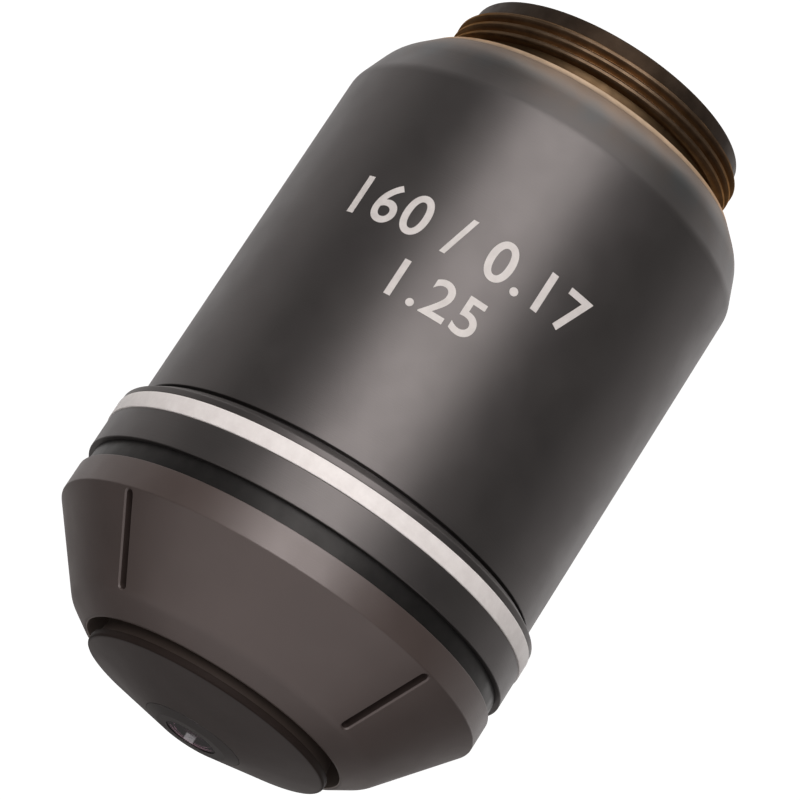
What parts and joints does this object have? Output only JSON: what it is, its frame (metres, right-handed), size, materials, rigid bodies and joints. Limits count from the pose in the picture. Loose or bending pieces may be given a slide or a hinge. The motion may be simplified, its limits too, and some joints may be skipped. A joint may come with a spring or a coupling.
{
  "type": "microscope objective",
  "caption": "Oil-immersion microscope objective with a standard mounting thread, colour code rings and a spring-loaded front that retracts when it meets the slide.",
  "frame": {"origin": "centre of the mounting thread's end face, which the objective stands on", "axes": "+Z along the optical axis towards the nose, +X and +Y between the spanner slots"},
  "size_m": [0.0296, 0.0296, 0.0492],
  "materials": {
    "bare_brass": "fine turned, toned",
    "black_brass": "matt blackened",
    "black_coat": "satin black",
    "nose_coat": "satin grey-black",
    "white_enamel": "enamel",
    "black_enamel": "enamel",
    "front_glass": "coated",
    "glass": "coated",
    "steel": "ground"
  },
  "bodies": {
    "housing": {"mount_barrel": "bare_brass", "rear_baffle_ring": "black_brass", "body_sleeve": "black_coat", "nose_carrier": "black_coat", "white_code_ring": "white_enamel", "immersion_code_ring": "black_enamel", "nose_cone": "nose_coat", "parfocal_shim": "steel", "guide_screws": "steel", "return_spring": "steel"},
    "front_group": {"lens_barrel": "black_brass", "nose_cap": "nose_coat", "front_lens_cell": "black_brass", "front_lens": "front_glass", "meniscus_lens": "glass", "positive_cell": "black_brass", "positive_lens": "glass", "doublet_cell": "black_brass", "doublet_flint": "glass", "doublet_crown": "glass", "triplet_cell": "black_brass", "triplet_front_flint": "glass", "triplet_fluorite": "glass", "triplet_rear_flint": "glass", "spacer_tube": "black_brass", "aperture_stop": "black_brass", "rear_cell": "black_brass", "rear_crown": "glass", "rear_flint": "glass", "stack_lock_ring": "black_brass", "spring_washer": "steel"}
  },
  "joints": [
    {"name": "nose_retract", "type": "slide", "parent": "housing", "child": "front_group", "axis": [0, 0, -1], "range_m": [0, 0.002], "stiffness_N_per_m": 210, "springref_m": -0.0071, "deforming": ["return_spring"]}
  ]
}
